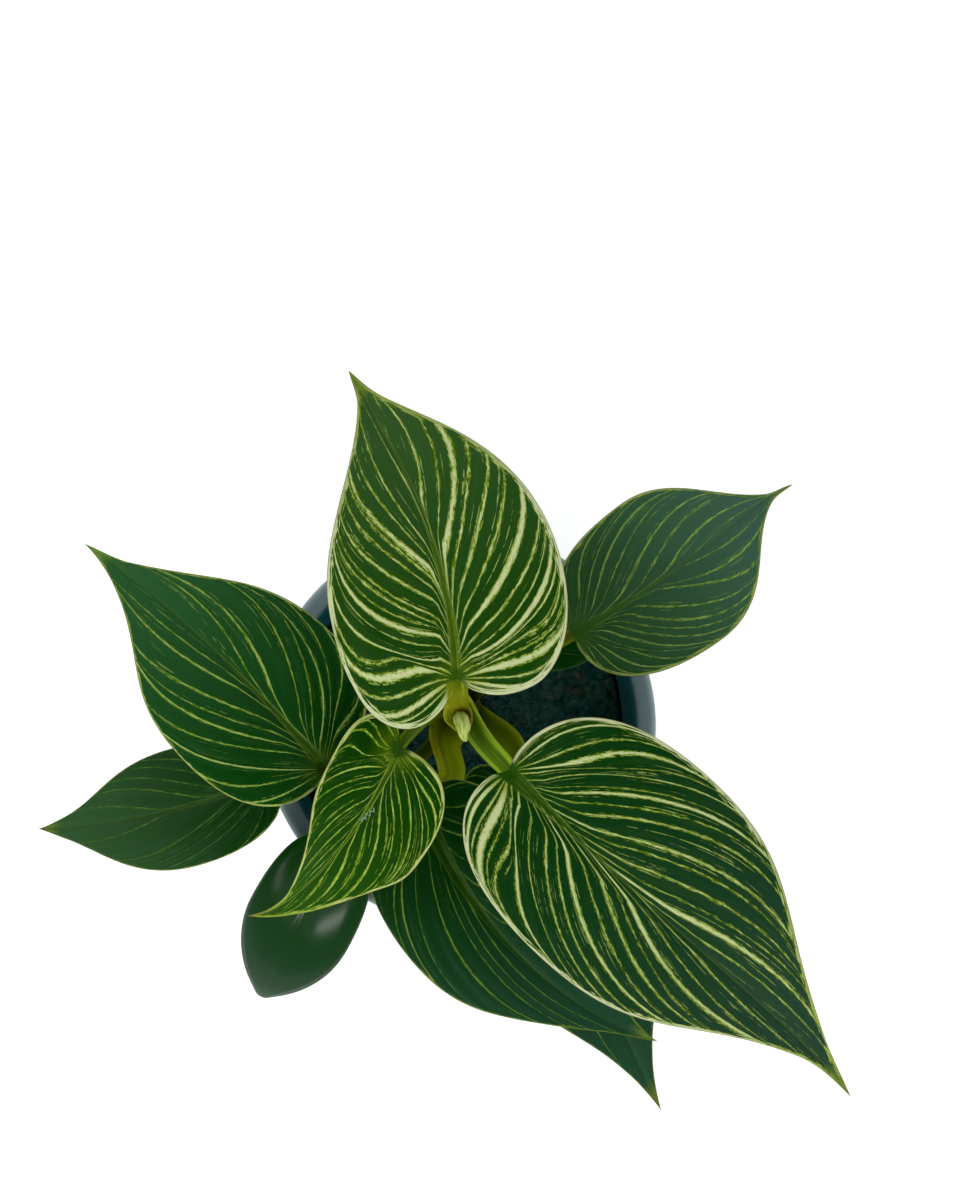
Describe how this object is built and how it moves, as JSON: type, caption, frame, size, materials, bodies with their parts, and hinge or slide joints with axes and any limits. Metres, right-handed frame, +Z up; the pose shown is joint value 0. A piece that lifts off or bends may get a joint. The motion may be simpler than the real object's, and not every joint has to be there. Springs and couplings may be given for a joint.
{
  "type": "potted philodendron birkin",
  "caption": "Potted philodendron with broad pointed dark green leaves pinstriped in cream, standing in a plain round slate grey nursery pot.",
  "frame": {"origin": "centre of the pot's underside, on the flat pad that it stands on", "axes": "+Z up through the pot's axis; +Y towards the tip of the tallest heavily striped leaf; +X to the right of that leaf"},
  "size_m": [0.2363, 0.2128, 0.1792],
  "materials": {
    "pot": "satin slate grey",
    "soil": "dark peat and bark mix",
    "stem": "smooth olive green",
    "bud": "smooth pale cream green",
    "young_blade": "satin bright green with yellow cream stripes",
    "striped_blade": "satin dark green with cream pinstripes",
    "plain_blade": "glossy dark green",
    "stalk": "smooth yellow green"
  },
  "bodies": {
    "root": {"pot": "pot", "soil": "soil", "stem": "stem", "bud": "bud", "leaf_1_blade": "striped_blade", "leaf_1_stalk": "stalk", "leaf_2_blade": "striped_blade", "leaf_2_stalk": "stalk", "leaf_3_blade": "young_blade", "leaf_3_stalk": "stalk", "leaf_4_blade": "striped_blade", "leaf_4_stalk": "stalk", "leaf_5_blade": "striped_blade", "leaf_5_stalk": "stalk", "leaf_6_blade": "striped_blade", "leaf_6_stalk": "stalk", "leaf_7_blade": "striped_blade", "leaf_7_stalk": "stalk", "leaf_8_blade": "striped_blade", "leaf_8_stalk": "stalk", "leaf_9_blade": "plain_blade", "leaf_9_stalk": "stalk", "leaf_10_blade": "plain_blade", "leaf_10_stalk": "stalk"}
  },
  "joints": []
}
